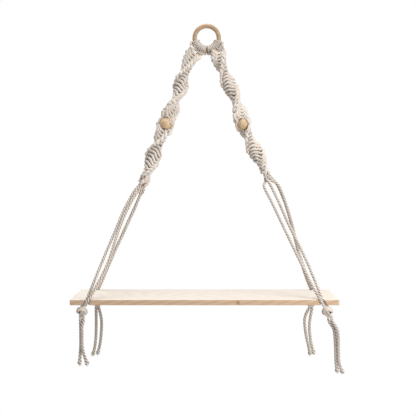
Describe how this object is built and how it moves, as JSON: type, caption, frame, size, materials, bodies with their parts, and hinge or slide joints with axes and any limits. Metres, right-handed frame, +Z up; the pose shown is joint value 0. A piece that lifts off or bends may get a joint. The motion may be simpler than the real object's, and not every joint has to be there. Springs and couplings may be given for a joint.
{
  "type": "hanging rope shelf",
  "caption": "Small wall shelf: a thin rectangular wooden board hung level from a wooden ring by spiral half-knot rope straps with round wooden beads, knotted under the board.",
  "frame": {"origin": "the nail's bearing place, on the inside of the ring at its top", "axes": "+X to the right seen from the front, +Y to the wall, +Z up; the shelf hangs down from the origin"},
  "size_m": [0.3566, 0.1055, 0.4692],
  "materials": {
    "ring_wood": "satin",
    "bead_wood": "satin",
    "pine": "raw",
    "rope": "cotton cord"
  },
  "bodies": {
    "ring": {"ring": "ring_wood"},
    "shelf": {"board": "pine", "left_larks_head_lower": "rope", "left_larks_head_upper": "rope", "left_working_strand_left": "rope", "left_working_strand_right": "rope", "left_filler_left": "rope", "left_filler_right": "rope", "right_larks_head_lower": "rope", "right_larks_head_upper": "rope", "right_working_strand_left": "rope", "right_working_strand_right": "rope", "right_filler_left": "rope", "right_filler_right": "rope", "front_left_knot": "rope", "front_left_leg_outer": "rope", "front_left_leg_inner": "rope", "front_right_knot": "rope", "front_right_leg_outer": "rope", "front_right_leg_inner": "rope", "rear_left_knot": "rope", "rear_left_leg_outer": "rope", "rear_left_leg_inner": "rope", "rear_right_knot": "rope", "rear_right_leg_outer": "rope", "rear_right_leg_inner": "rope"},
    "left_bead": {"left_bead": "bead_wood"},
    "right_bead": {"right_bead": "bead_wood"},
    "front_left_tails": {"front_left_tail_outer": "rope", "front_left_tail_inner": "rope"},
    "front_right_tails": {"front_right_tail_outer": "rope", "front_right_tail_inner": "rope"},
    "rear_left_tails": {"rear_left_tail_outer": "rope", "rear_left_tail_inner": "rope"},
    "rear_right_tails": {"rear_right_tail_outer": "rope", "rear_right_tail_inner": "rope"}
  },
  "joints": [
    {"name": "shelf_sway", "type": "hinge", "parent": "ring", "child": "shelf", "pos_m": [0, 0, -0.0134], "axis": [0, 1, 0], "range_deg": [-15, 15]},
    {"name": "left_bead_spin", "type": "hinge", "parent": "shelf", "child": "left_bead", "pos_m": [-0.05629, -0.01244, -0.13342], "axis": [-0.3401, -0.0962, -0.9355], "continuous": true},
    {"name": "right_bead_spin", "type": "hinge", "parent": "shelf", "child": "right_bead", "pos_m": [0.05152, -0.01218, -0.1344], "axis": [0.3435, -0.1147, -0.9321], "continuous": true},
    {"name": "front_left_tails_swing", "type": "hinge", "parent": "shelf", "child": "front_left_tails", "pos_m": [0, -0.0926, -0.39195], "axis": [1, 0, 0], "range_deg": [-30, 30]},
    {"name": "front_right_tails_swing", "type": "hinge", "parent": "shelf", "child": "front_right_tails", "pos_m": [0, -0.0926, -0.39195], "axis": [1, 0, 0], "range_deg": [-30, 30]},
    {"name": "rear_left_tails_swing", "type": "hinge", "parent": "shelf", "child": "rear_left_tails", "pos_m": [0, -0.0004, -0.39195], "axis": [1, 0, 0], "range_deg": [-30, 4]},
    {"name": "rear_right_tails_swing", "type": "hinge", "parent": "shelf", "child": "rear_right_tails", "pos_m": [0, -0.0004, -0.39195], "axis": [1, 0, 0], "range_deg": [-30, 4]}
  ]
}
